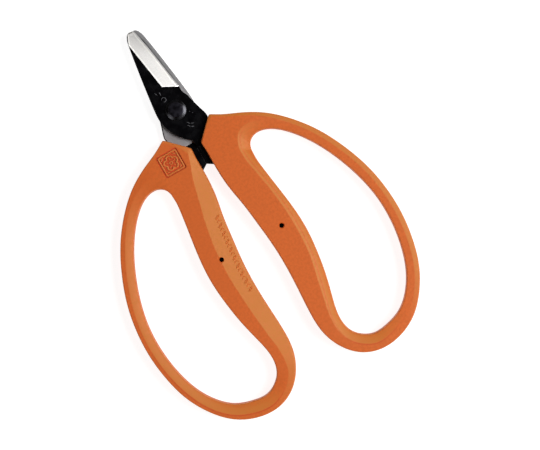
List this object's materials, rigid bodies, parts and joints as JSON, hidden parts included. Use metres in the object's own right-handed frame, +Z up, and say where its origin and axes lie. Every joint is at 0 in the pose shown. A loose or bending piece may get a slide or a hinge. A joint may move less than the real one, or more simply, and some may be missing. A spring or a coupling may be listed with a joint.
{
  "type": "floral snips",
  "caption": "Flower and thinning snips: short ground blades on a riveted pivot, with cranked tangs moulded into wide orange loop handles.",
  "frame": {"origin": "centre of the rear rivet head's flat face: on the pivot axis, on the plane that the tool lies on", "axes": "+Y along the closed tool towards the blade tips, +Z up along the pivot axis towards the front blade, +X to the right"},
  "size_m": [0.1196, 0.1649, 0.01],
  "materials": {
    "blade": "satin black coating with bare ground bevels",
    "handle": "fine satin moulding",
    "rivet": "dark satin steel",
    "washer": "dark satin steel"
  },
  "bodies": {
    "left_half": {"rear_blade": "blade", "left_handle": "handle", "pivot_rivet": "rivet", "front_washer": "washer", "rear_washer": "washer"},
    "right_half": {"front_blade": "blade", "right_handle": "handle"}
  },
  "joints": [
    {"name": "blade_pivot", "type": "hinge", "parent": "left_half", "child": "right_half", "pos_m": [0, 0, 0.005], "axis": [0, 0, 1], "range_deg": [0, 85]}
  ]
}
